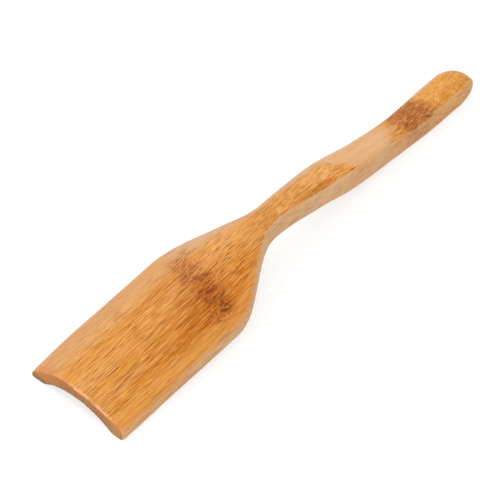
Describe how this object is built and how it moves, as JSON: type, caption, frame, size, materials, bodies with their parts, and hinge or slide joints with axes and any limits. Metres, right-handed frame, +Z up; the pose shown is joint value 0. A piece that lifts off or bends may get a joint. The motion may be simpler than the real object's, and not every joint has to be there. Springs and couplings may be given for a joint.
{
  "type": "tea scoop",
  "caption": "Carved bamboo tea scoop with a wide hollowed blade, tapering shoulders and a slim wavy handle, lying hollow side down.",
  "frame": {"origin": "on the table that the scoop lies on, under the middle of its bounding box", "axes": "+X from the blade's front edge to the handle's end, +Y across, +Z up from the table, with the hollow facing down"},
  "size_m": [0.18, 0.0382, 0.0172],
  "materials": {
    "bamboo": "oiled and hand-rubbed, satin"
  },
  "bodies": {
    "root": {"scoop": "bamboo"}
  },
  "joints": []
}
